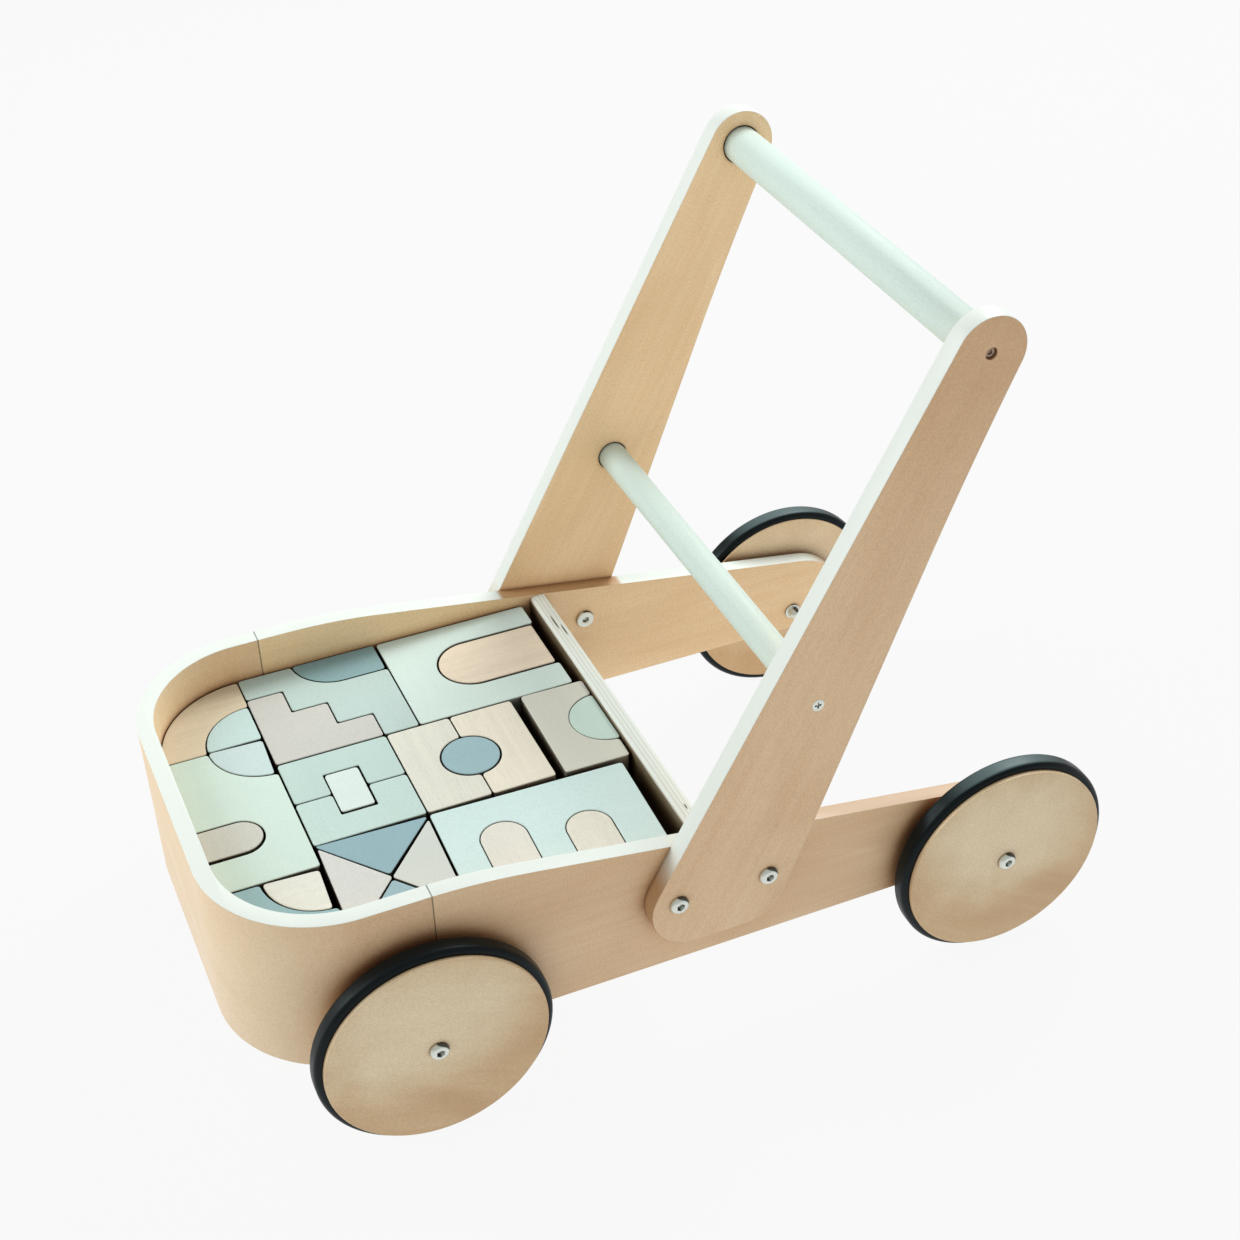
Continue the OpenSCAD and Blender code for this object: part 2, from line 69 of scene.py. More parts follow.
class Graph:
    """A material being built. Each method adds nodes and returns an output socket."""

    def __init__(self, name):
        self.material = bpy.data.materials.new(name)
        self.material.use_nodes = True
        self.tree = self.material.node_tree
        self.tree.nodes.clear()

    def add(self, kind, **settings):
        node = self.tree.nodes.new("ShaderNode" + kind)
        for key, value in settings.items():
            setattr(node, key, value)
        return node

    def put(self, socket, value):
        if isinstance(value, bpy.types.NodeSocket):
            self.tree.links.new(value, socket)
        else:
            socket.default_value = value

    def position(self):
        return self.add("TexCoord").outputs["Object"]

    def normal(self):
        return self.add("TexCoord").outputs["Normal"]

    def split(self, vector):
        node = self.add("SeparateXYZ")
        self.put(node.inputs[0], vector)
        return node.outputs[0], node.outputs[1], node.outputs[2]

    def join(self, x, y, z):
        node = self.add("CombineXYZ")
        for socket, value in zip(node.inputs, (x, y, z)):
            self.put(socket, value)
        return node.outputs[0]

    def math(self, operation, a, b=0.0, c=0.0, clamp=False):
        node = self.add("Math", operation=operation, use_clamp=clamp)
        for socket, value in zip(node.inputs, (a, b, c)):
            self.put(socket, value)
        return node.outputs[0]

    def mapped(self, vector, rotation=(0, 0, 0), scale=(1, 1, 1), location=(0, 0, 0)):
        node = self.add("Mapping")
        self.put(node.inputs["Vector"], vector)
        node.inputs["Rotation"].default_value = rotation
        node.inputs["Scale"].default_value = scale
        node.inputs["Location"].default_value = location
        return node.outputs[0]

    def noise(self, vector, scale=1.0, detail=3.0, roughness=0.5, distortion=0.0):
        node = self.add("TexNoise")
        self.put(node.inputs["Vector"], vector)
        node.inputs["Scale"].default_value = scale
        node.inputs["Detail"].default_value = detail
        node.inputs["Roughness"].default_value = roughness
        node.inputs["Distortion"].default_value = distortion
        return node.outputs["Fac"]

    def remap(self, value, low, high, to_low=0.0, to_high=1.0):
        node = self.add("MapRange", interpolation_type="SMOOTHSTEP")
        for socket, v in zip(node.inputs, (value, low, high, to_low, to_high)):
            self.put(socket, v)
        return node.outputs[0]

    def mix(self, factor, a, b, blend="MIX"):
        node = self.add("Mix", data_type="RGBA", blend_type=blend)
        self.put(node.inputs["Factor"], factor)
        self.put(node.inputs["A"], a)
        self.put(node.inputs["B"], b)
        return node.outputs["Result"]

    def shade(self, colour, factor):
        """A colour multiplied by a number."""
        node = self.add("VectorMath", operation="SCALE")
        self.put(node.inputs["Vector"], colour)
        self.put(node.inputs["Scale"], factor)
        return node.outputs[0]

    def openness(self, reach, dark=0.03, closed=0.15, clear=0.8):
        """Factor of painted shade: 1 on an open surface, falling to dark where others stand within
        reach of it.
        """
        node = self.add("AmbientOcclusion", samples=6)
        node.inputs["Distance"].default_value = reach
        return self.remap(node.outputs["AO"], closed, clear, dark, 1.0)

    def crevices(self, colour, openness, warmth=0.35):
        """The colour darkened by painted shade in crevices, which turns browner as the painted shade
        deepens.
        """
        red, green, blue = (self.math("POWER", openness, power)
                            for power in (1 - warmth, 1.0, 1 + warmth))
        return self.mix(1.0, colour, self.join(red, green, blue), "MULTIPLY")

    def bump(self, height, distance, strength=1.0, normal=None):
        node = self.add("Bump")
        node.inputs["Strength"].default_value = strength
        node.inputs["Distance"].default_value = distance
        self.put(node.inputs["Height"], height)
        if normal is not None:
            self.put(node.inputs["Normal"], normal)
        return node.outputs[0]

    def finish(self, colour, roughness, normal=None, **constants):
        shader = self.add("BsdfPrincipled")
        self.put(shader.inputs["Base Color"], colour)
        self.put(shader.inputs["Roughness"], roughness)
        if normal is not None:
            self.put(shader.inputs["Normal"], normal)
        for key, value in constants.items():
            shader.inputs[key.replace("_", " ")].default_value = value
        output = self.add("OutputMaterial")
        self.tree.links.new(shader.outputs[0], output.inputs["Surface"])
        return self.material


def grain(g, vector, seed):
    """Wood grain on a vector whose x runs across and y along the grain, in metres.
    Returns soft streaks, broad clouds, short pores and a sandy speckle, each from 0 to 1."""
    place = (seed * 1.37, seed * 0.71, seed * 0.53)
    streaks = g.noise(g.mapped(vector, scale=(230, 8, 230), location=place), 1, 4, 0.6, 0.5)
    clouds = g.noise(g.mapped(vector, scale=(16, 6, 16), location=place), 1, 3, 0.55, 0.9)
    pores = g.noise(g.mapped(vector, scale=(1500, 90, 1500), location=place), 1, 2, 0.5)
    speckle = g.noise(g.mapped(vector, scale=(1300, 800, 1300), location=place), 1, 2, 0.7)
    return (g.remap(streaks, 0.3, 0.7), g.remap(clouds, 0.3, 0.7), g.remap(pores, 0.58, 0.72),
            g.remap(speckle, 0.3, 0.7))


# ---------------------------------------------------------------- wood

BIRCH = srgb(226, 192, 150)
BIRCH_DARK = srgb(204, 162, 117)
BIRCH_LIGHT = srgb(238, 215, 181)
# Paler birch for a painted sheen
BIRCH_PAINTED_SHEEN = srgb(240, 224, 190)
EDGE = srgb(228, 236, 229)
# The tan of a cut edge, as raw wood in some places and as painted shade in others
EDGE_TAN = srgb(192, 153, 110)
PLY_GLUE = srgb(158, 126, 96)
PLAIN = (1, 1, 1, 1)
YELLOWER = (1.07, 1.12, 1.11, 1)    # tone of the pieces on the right side
VOID = srgb(38, 28, 22)
# How much brighter faces that look towards the middle are painted, as painted light
INSIDE_PAINTED_LIGHT = 1.2


def nowhere(g, x, y, z):
    return 0.0


def plywood(name, faces, through, seed, grain_turn=(0, 0, 0), tone=PLAIN, layer=2.0 * MM,
            lines=0.08, tan=nowhere, voids=nowhere, inside=0.0, reach=5 * MM, figure=0.3,
            painted_light=nowhere, painted_light_colour=BIRCH_PAINTED_SHEEN):
    """Lacquered birch plywood. faces is the axis, or the two axes, that the veneer looks along;
    every other side is a pale cut edge. grain_turn turns the position so that y runs along the
    grain. Of the functions of (g, x, y, z), through gives the distance through the plies, tan
    says where the pale edge turns tan, as raw wood in some places and as painted shade in others,
    and voids where there is a dark gap. inside is the y about which the walls stand, whose faces
    towards it are painted brighter, as painted light. figure is the strength of the broad darker
    clouds, and the last function and colour say where the veneer turns to that colour, as painted
    sheen on some pieces and painted shade on others."""
    g = Graph(name)
    place = g.position()
    x, y, z = g.split(place)
    streaks, clouds, pores, speckle = grain(g, g.mapped(place, rotation=grain_turn), seed)
    veneer = g.mix(g.math("MULTIPLY", streaks, 0.3), BIRCH, BIRCH_LIGHT)
    veneer = g.mix(g.math("MULTIPLY", clouds, figure), veneer, BIRCH_DARK)
    veneer = g.mix(g.math("MULTIPLY", pores, 0.2), veneer, BIRCH_DARK)
    veneer = g.mix(1.0, veneer, tone, "MULTIPLY")
    # Painted sheen on the nose and the wheels, painted shade on the head of the left post
    veneer = g.mix(painted_light(g, x, y, z), veneer, painted_light_colour)
    veneer = g.shade(veneer, g.remap(speckle, 0, 1, 1.06, 0.92))
    nx, ny, nz = g.split(g.normal())
    # Painted light: the faces of the walls that look inward are painted brighter
    inward_x = g.math("MULTIPLY", g.math("MULTIPLY", x, nx), -1.0)
    inward = g.math("MULTIPLY_ADD", g.math("SUBTRACT", inside, y), ny, inward_x)
    veneer = g.shade(veneer, g.remap(inward, 0.02, 0.06, 1.0, INSIDE_PAINTED_LIGHT))
    # Cut edge: pale plies with thin glue lines that wander a little
    wander = g.noise(g.mapped(place, scale=(60, 60, 60)), 1, 3, 0.6)
    ply = g.math("MULTIPLY_ADD", wander, 0.3, g.math("DIVIDE", through(g, x, y, z), layer))
    line = g.math("PINGPONG", ply, 0.5)
    glue = g.math("MULTIPLY", g.remap(line, 0.0, 0.08, 1.0, 0.0), lines)
    edge = g.mix(tan(g, x, y, z), EDGE, EDGE_TAN)
    edge = g.mix(glue, edge, PLY_GLUE)
    parts = {"x": nx, "y": ny, "z": nz}
    facing = 0.0
    for axis in faces:
        facing = g.math("ADD", facing, g.math("POWER", parts[axis], 2))
    is_face = g.remap(facing, 0.82, 0.97)
    colour = g.mix(voids(g, x, y, z), g.mix(is_face, edge, veneer), VOID)
    # Painted shade where other parts stand close
    colour = g.crevices(colour, g.openness(reach))
    height = g.math("MULTIPLY_ADD", pores, -0.6, streaks)
    height = g.math("MULTIPLY", height, is_face)
    height = g.math("MULTIPLY_ADD", glue, -1.2, height)
    rough = g.remap(clouds, 0, 1, 0.38, 0.5)
    return g.finish(colour, rough, g.bump(height, 0.03 * MM, 0.45), Specular_IOR_Level=0.45)


def painted_wood(name, colour, seed, show=0.16, rough=0.55, turn=(0, 0, 0), dark=0.82,
                 reach=10 * MM, walls=False):
    """Thin matt paint that lets some grain through, with faint lighter patches here and there.
    Painted shade darkens it where others stand close; with walls, the upright sides sink into painted
    shade sooner than the top does."""
    g = Graph(name)
    streaks, clouds, pores, speckle = grain(g, g.mapped(g.position(), rotation=turn), seed)
    deep = tuple(c * dark for c in colour[:3]) + (1.0,)
    pale = tuple(min(1.0, c * 1.05 + 0.01) for c in colour[:3]) + (1.0,)
    paint = g.mix(g.math("MULTIPLY", streaks, show), colour, deep)
    paint = g.mix(g.math("MULTIPLY", clouds, 0.35), paint, pale)
    paint = g.mix(g.math("MULTIPLY", pores, show * 1.5), paint, deep)
    paint = g.shade(paint, g.remap(speckle, 0, 1, 1.03, 0.95))
    upward = g.remap(g.split(g.normal())[2], 0.05, 0.45) if walls else 1.0
    wall = g.openness(20 * MM, 0.01, 0.22, 0.9)
    near = g.openness(reach, 0.03, 0.04, 0.48)
    opening = g.math("MULTIPLY_ADD", g.math("SUBTRACT", near, wall), upward, wall)
    paint = g.crevices(paint, opening, 0.15)
    height = g.math("MULTIPLY_ADD", pores, -0.8, streaks)
    surface = g.remap(clouds, 0, 1, rough - 0.06, rough + 0.06)
    return g.finish(paint, surface, g.bump(height, 0.03 * MM, 0.45), Specular_IOR_Level=0.3)


# ---------------------------------------------------------------- metal, rubber, floor

def metal(name, colour, painted_dark_reflection, rough):
    """Plated metal with a painted dark reflection where it looks up and back. Painted shade makes the
    floors of its recesses darker than their sides."""
    g = Graph(name)
    place = g.position()
    fine = g.noise(g.mapped(place, scale=(900, 900, 900)), 1, 3, 0.6)
    nx, ny, nz = g.split(g.normal())
    up_back = g.math("MULTIPLY_ADD", ny, 0.7, g.math("MULTIPLY", nz, 0.7))
    tint = g.mix(g.remap(up_back, 0.45, 0.62), colour, painted_dark_reflection)
    tint = g.shade(tint, g.remap(fine, 0.3, 0.7, 0.93, 1.0))
    # Painted shade: faces that look along the axis are darker, most where others stand close
    sideways = g.math("SUBTRACT", 1.0, g.math("POWER", nx, 2))
    lit = g.math("MULTIPLY_ADD", sideways, 0.35, g.openness(2.5 * MM, 0.02, 0.3, 0.62))
    tint = g.shade(tint, g.math("MINIMUM", lit, 1.0))
    surface = g.remap(fine, 0.3, 0.7, rough - 0.04, rough + 0.05)
    return g.finish(tint, surface, g.bump(fine, 0.006 * MM, 0.25), Metallic=0.75)


def rubber(name, sheen):
    """Black rubber, with a painted sheen of the given colour where it looks up at the light, and
    painted shade where other parts stand close.
    """
    g = Graph(name)
    place = g.position()
    fine = g.noise(g.mapped(place, scale=(1400, 1400, 1400)), 1, 3, 0.6)
    dust = g.noise(g.mapped(place, scale=(45, 45, 45)), 1, 4, 0.6)
    colour = g.mix(g.remap(dust, 0.42, 0.75, 0.0, 0.5), srgb(5, 6, 8), srgb(11, 15, 17))
    colour = g.mix(g.remap(g.split(g.normal())[2], 0.78, 1.0), colour, sheen)
    colour = g.shade(colour, g.openness(12 * MM, 0.2, 0.2, 0.9))
    rough = g.remap(dust, 0.3, 0.7, 0.36, 0.46)
    return g.finish(colour, rough, g.bump(fine, 0.02 * MM, 0.35), Specular_IOR_Level=0.2,
                    Specular_Tint=(0.72, 0.95, 1.0, 1.0))


FLOOR_GLOW = 0.925


def pale_floor():
    """A pale floor that glows a little, as a lit table does, which keeps shadows on it faint."""
    g = Graph("studio_floor")
    soft = g.noise(g.mapped(g.position(), scale=(3, 3, 3)), 1, 2, 0.5)
    colour = g.mix(soft, srgb(40, 40, 40), srgb(42, 42, 42))
    return g.finish(colour, 0.9, Specular_IOR_Level=0.0, Emission_Color=(1, 1, 1, 1),
                    Emission_Strength=FLOOR_GLOW)


# ---------------------------------------------------------------- mesh helpers

CORNER = 32             # degrees between two faces from which their edge is a corner


def new_object(name, mesh):
    obj = bpy.data.objects.new(name, mesh)
    SCENE.collection.objects.link(obj)
    return obj


def cad_copy(node):
    """A bmesh of a CAD node with its triangulated flat faces joined again."""
    bm = bmesh.new()
    bm.from_mesh(frame["nodes"][node].data)
    bmesh.ops.remove_doubles(bm, verts=bm.verts, dist=0.002 * MM)
    bmesh.ops.dissolve_limit(bm, angle_limit=math.radians(0.05), verts=bm.verts, edges=bm.edges)
    return bm


def soften(obj, bevel, segments, limit_method="ANGLE"):
    rounding = obj.modifiers.new("rounded_edges", "BEVEL")
    rounding.width = bevel
    rounding.segments = segments
    rounding.limit_method = limit_method
    rounding.angle_limit = math.radians(CORNER)
    rounding.harden_normals = True
    rounding.miter_outer = "MITER_ARC"


def refined(node, material, bevel, segments=3, share=None):
    """A copy of a CAD node with softly rounded edges, which stands for it. share(edge) is the
    part of the bevel that an edge gets, from 0 to 1."""
    mesh = bpy.data.meshes.new(node + "_look")
    bm = cad_copy(node)
    weights = bm.edges.layers.float.new("bevel_weight_edge")
    for edge in bm.edges:
        if edge.calc_face_angle(0) > math.radians(CORNER):
            edge[weights] = share(edge) if share else 1.0
    for face in bm.faces:
        face.smooth = True
    bm.to_mesh(mesh)
    bm.free()
    obj = new_object(node + "_look", mesh)
    soften(obj, bevel, segments, "WEIGHT")
    stand_for(obj, node, material)
    return obj


def outline_of(node):
    """Top outline of a CAD node that is a plain prism, anticlockwise, and its two heights."""
    bm = cad_copy(node)
    top = max(bm.faces, key=lambda face: face.calc_center_median().z)
    points = [vert.co.to_2d() for vert in top.verts]
    heights = [vert.co.z for vert in bm.verts]
    bm.free()
    return points, min(heights), max(heights)


def turn_at(points, i):
    """Turn of a closed outline at point i, in degrees, positive on an outward corner."""
    before = points[i] - points[i - 1]
    after = points[(i + 1) % len(points)] - points[i]
    return math.degrees(math.atan2(before.x * after.y - before.y * after.x, before.dot(after)))


def walk(points, start, step, reach):
    """Follows a closed outline from point start, forwards or backwards, for the length reach.
    Returns where it arrives and the number of points passed on the way."""
    here = points[start]
    passed = 0
    while True:
        after = points[(start + step * (passed + 1)) % len(points)]
        length = (after - here).length
        if length >= reach:
            return here + (after - here) * reach / length, passed
        reach -= length
        here = after
        passed += 1


def rounded_outline(points, radius, steps=6):
    """A closed outline with each outward corner replaced by a short curve."""
    corners = [i for i in range(len(points)) if turn_at(points, i) > CORNER]
    if not corners:
        return points
    dropped = set()
    curves = {}
    for number, corner in enumerate(corners):
        room = radius
        for other, step in ((corners[number - 1], -1), (corners[(number + 1) % len(corners)], 1)):
            gap = 0
            at = corner
            while at != other or gap == 0:
                after = (at + step) % len(points)
                gap += (points[after] - points[at]).length
                at = after
            room = min(room, 0.45 * gap)
        start, passed_back = walk(points, corner, -1, room)
        end, passed_on = walk(points, corner, 1, room)
        for k in range(-passed_back, passed_on + 1):
            dropped.add((corner + k) % len(points))
        middle = points[corner]
        curves[corner] = [start * (1 - u) ** 2 + middle * 2 * u * (1 - u) + end * u * u
                          for u in [k / steps for k in range(steps + 1)]]
    smooth = []
    for i, point in enumerate(points):
        if i in curves:
            smooth += curves[i]
        elif i not in dropped:
            smooth.append(point)
    return smooth


def rounded_prism(node, material, corner, bevel):
    """Stands for a CAD prism, with rounder upright corners and softly broken edges."""
    points, low, high = outline_of(node)
    points = rounded_outline(points, corner)
    bm = bmesh.new()
    bottom = [bm.verts.new((p.x, p.y, low)) for p in points]
    top = [bm.verts.new((p.x, p.y, high)) for p in points]
    bm.faces.new(top)
    bm.faces.new(bottom[::-1])
    for i in range(len(points)):
        bm.faces.new((bottom[i - 1], bottom[i], top[i], top[i - 1]))
    for face in bm.faces:
        face.smooth = True
    mesh = bpy.data.meshes.new(node + "_look")
    bm.to_mesh(mesh)
    bm.free()
    obj = new_object(node + "_look", mesh)
    soften(obj, bevel, 3)
    stand_for(obj, node, material)


def stand_for(obj, node, material):
    obj.data.materials.clear()
    obj.data.materials.append(material)
    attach(obj, NODE_BODY[node])
    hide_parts(node)


HEX = "hex"
ROUND = "round"


def ring(x, r, shape, segments, turn=0.0):
    """Points of a ring about the X axis at x. A hex ring has r as half its width across flats."""
    points = []
    for i in range(segments):
        a = 2 * math.pi * i / segments
        reach = r
        if shape == HEX:
            reach = r / math.cos((a + math.pi / 6) % (math.pi / 3) - math.pi / 6)
        points.append(Vector((x, reach * math.cos(a + turn), reach * math.sin(a + turn))))
    return points


def lathe(name, profiles, segments=96):
    """Surfaces turned about the X axis. profiles is a list of (centre, side, rings), where rings
    are (x, r) or (x, r, shape) and side is 1 or -1 for a mirror along X. A ring of radius 0
    closes a surface, and a profile that ends on its first ring is a closed tube."""
    bm = bmesh.new()
    for centre, side, rings in profiles:
        closed = rings[0] == rings[-1]
        rows = []
        for spec in rings[:-1] if closed else rings:
            x, r = spec[:2]
            shape = spec[2] if len(spec) > 2 else ROUND
            if r == 0:
                rows.append([bm.verts.new(centre + Vector((side * x, 0, 0)))])
                continue
            points = ring(side * x, r, shape, segments)
            rows.append([bm.verts.new(centre + p) for p in points])
        pairs = list(zip(rows, rows[1:] + ([rows[0]] if closed else [])))
        for a, b in pairs:
            for i in range(segments):
                j = (i + 1) % segments
                corners = [a[i % len(a)], a[j % len(a)], b[j % len(b)], b[i % len(b)]]
                bm.faces.new(dict.fromkeys(corners))
    bmesh.ops.recalc_face_normals(bm, faces=bm.faces)
    for face in bm.faces:
        face.smooth = True
    mesh = bpy.data.meshes.new(name)
    bm.to_mesh(mesh)
    bm.free()
    sharp_by_angle(mesh, 40)
    return new_object(name, mesh)


def sharp_by_angle(mesh, degrees):
    mesh.set_sharp_from_angle(angle=math.radians(degrees))


def arc(cx, cr, radius, start, end, steps):
    """Profile points (x, r) on an arc, angles in degrees from +x towards +r."""
    points = []
    for i in range(steps + 1):
        a = math.radians(start + (end - start) * i / steps)
        points.append((cx + radius * math.cos(a), cr + radius * math.sin(a)))
    return points


# ---------------------------------------------------------------- frame pieces

def through_x(g, x, y, z):
    return x


def through_y(g, x, y, z):
    return y


def through_z(g, x, y, z):
    return z


def in_plane(edge, axis, value):
    return all(abs(vert.co[axis] - value) < 0.05 * MM for vert in edge.verts)


def spots(places, half_width):
    """Dark marks for an upper edge: each of places is (x, y, half length along x)."""
    def mark(g, x, y, z):
        found = 0.0
        for at_x, at_y, half in places:
            dx = g.math("DIVIDE", g.math("SUBTRACT", x, at_x), half)
            dy = g.math("DIVIDE", g.math("SUBTRACT", y, at_y), half_width)
            far = g.math("ADD", g.math("POWER", dx, 2), g.math("POWER", dy, 2))
            found = g.math("MAXIMUM", found, g.remap(far, 0.3, 1.1, 0.9, 0.0))
        return found
    return mark


# The stretch of the rim beside which a post stands
POST_Y = 25 * MM
POST_HALF = 42 * MM


def make_tray():
    shell_low, shell_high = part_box("front_shell")
    corner = 73 * MM
    corner_x = shell_high.x - corner
    corner_y = shell_low.y + corner
    seams = {side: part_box("side_panel_" + side)[0].y for side in ("left", "right")}
    arm_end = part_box("side_panel_left")[1].y

    def through_shell(g, x, y, z):
        out = g.math("MAXIMUM", g.math("SUBTRACT", g.math("ABSOLUTE", x), corner_x), 0.0)
        ahead = g.math("MAXIMUM", g.math("SUBTRACT", corner_y, y), 0.0)
        squares = g.math("ADD", g.math("POWER", out, 2), g.math("POWER", ahead, 2))
        return g.math("SQRT", squares)

    def seam_share(edge):
        """A glued seam is nearly square, and the upright edges beside it stay sharp."""
        return 0.12 if any(in_plane(edge, 1, y) for y in seams.values()) else 1.0

    def seam_line(g, x, y, z):
        """Dark line of the joint between the shell and the side panel at this x."""
        halfway = (seams["left"] + seams["right"]) / 2
        seam = g.math("MULTIPLY_ADD", g.math("SIGN", x), seams["left"] - halfway, halfway)
        away = g.math("ABSOLUTE", g.math("SUBTRACT", y, seam))
        return g.remap(away, 0.15 * MM, 0.6 * MM, 0.7, 0.0)

    def right_rim_painted_shade(g, x, y, z):
        """Tan on the rim beside the post, a painted shadow of the post, and at the rear end of the
        arm, painted shade where the edge turns down away from the light.
        """
        beside = g.math("ABSOLUTE", g.math("SUBTRACT", y, POST_Y))
        beside = g.remap(beside, POST_HALF - 2 * MM, POST_HALF + 2 * MM, 1.0, 0.0)
        behind = g.remap(y, arm_end - 30 * MM, arm_end - 8 * MM)
        return g.math("MAXIMUM", beside, behind)

    def left_rim_tan(g, x, y, z):
        """The pale edge turns tan along the whole of the arm behind the post."""
        return g.remap(y, POST_Y, POST_Y + POST_HALF, 0.0, 0.85)

    def nose_painted_sheen(g, x, y, z):
        """The front of the nose is painted paler low down, a painted sheen where it faces the light.
        """
        return g.remap(y, shell_low.y + corner, shell_low.y + 20 * MM, 0.0, 0.45)

    middle = corner_y
    along = (math.radians(90), 0, math.radians(90))
    shell = plywood("birch_shell", "xy", through_shell, 3.0, along, (0.97, 0.96, 0.95, 1),
                    inside=middle, voids=seam_line, reach=14 * MM, painted_light=nose_painted_sheen)
    refined("front_shell", shell, 1.5 * MM, 4, seam_share)
    for side, seed, tone, tan in (("left", 5.0, PLAIN, left_rim_tan),
                                  ("right", 9.0, YELLOWER, right_rim_painted_shade)):
        panel = plywood("birch_side_" + side, "x", through_x, seed, tone=tone, inside=middle,
                        tan=tan, voids=seam_line, reach=12 * MM)
        refined("side_panel_" + side, panel, 1.5 * MM, 4, seam_share)

    back_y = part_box("back_panel")[0].y
    gaps = spots([(-83 * MM, back_y + 7.4 * MM, 7 * MM), (-93 * MM, back_y + 4.8 * MM, 9 * MM),
                  (104 * MM, back_y + 6.5 * MM, 3 * MM)], 0.6 * MM)
    # The veneer of the back panel is painted dark all over, as painted shade for its front face deep
    # in the tray
    back = plywood("birch_back", "y", through_y, 13.0, (0, 0, math.radians(90)),
                   (0.3, 0.38, 0.42, 1), layer=2.5 * MM, lines=0.75, voids=gaps, reach=20 * MM)
    refined("back_panel", back, 0.8 * MM)
    base = plywood("birch_floor", "z", through_z, 17.0)
    refined("tray_floor", base, 0.4 * MM, 2)
    pegs = painted_wood("dowel_wood", BIRCH, 19.0, 0.4)
    refined("seam_dowels", pegs, 0.4 * MM, 2)
    refined("back_dowels", pegs, 0.4 * MM, 2)


# Height from which the cut edge of a post's foot is pale, and below which it is tan, painted shade
# where the edge turns away from the light
FOOT_PALE_Z = 148.5 * MM
FOOT_SHADED_Z = 121.5 * MM


def make_handle():
    bar_low, bar_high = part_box("handle_bar")
    screw = (bar_low + bar_high) / 2

    def raw_wood_and_painted_shade(g, x, y, z):
        """Tan as raw wood in the recess of the handle screw, and as painted shade on the foot's edge,
        whose lower end turns away from the light.
        """
        dy = g.math("POWER", g.math("SUBTRACT", y, screw.y), 2)
        away = g.math("SQRT", g.math("ADD", dy, g.math("POWER", g.math("SUBTRACT", z, screw.z), 2)))
        recess = g.remap(away, 5 * MM, 7 * MM, 1.0, 0.0)
        return g.math("MAXIMUM", recess, g.remap(z, FOOT_PALE_Z, FOOT_SHADED_Z))

    # Painted shade: the veneer of the left post darkens towards its head
    def painted_shade_on_head(g, x, y, z):
        return g.remap(z, 300 * MM, 420 * MM, 0.0, 0.55)

    for side, seed, tone, painted_light in (("left", 7.0, PLAIN, painted_shade_on_head),
                                    ("right", 11.0, YELLOWER, nowhere)):
        low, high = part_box("handle_post_" + side)
        inner = min(low.x, high.x, key=abs)

        def contact_share(edge):
            return 0.5 if in_plane(edge, 0, inner) else 1.0

        lean = plywood("birch_post_" + side, "x", through_x, seed, (math.radians(-62), 0, 0),
                       tone, tan=raw_wood_and_painted_shade, painted_light=painted_light, painted_light_colour=BIRCH_DARK)
        refined("handle_post_" + side, lean, 1.6 * MM, 4, contact_share)
    turned = (0, 0, math.radians(90))
    bars = painted_wood("mint_paint", srgb(209, 227, 219), 23.0, 0.08, 0.55, turned, reach=6 * MM)
    refined("handle_bar", bars, 0.5 * MM, 2)
    refined("cross_bar", bars, 0.5 * MM, 2)


# ---------------------------------------------------------------- wheels

def painted_wheel_sheen(centre):
    """A painted sheen on a wheel's face, in irregular patches, which fades out low and towards the
    rear.
    """
    def painted_light(g, x, y, z):
        dy = g.math("DIVIDE", g.math("SUBTRACT", y, centre.y - 6 * MM), 62 * MM)
        dz = g.math("DIVIDE", g.math("SUBTRACT", z, centre.z + 22 * MM), 52 * MM)
        far = g.math("ADD", g.math("POWER", dy, 2), g.math("POWER", dz, 2))
        patches = g.noise(g.join(0.0, y, z), 22, 3, 0.55, 0.6)
        far = g.math("MULTIPLY_ADD", patches, 1.2, far)
        return g.remap(far, 0.4, 2.3, 0.8, 0.0)
    return painted_light


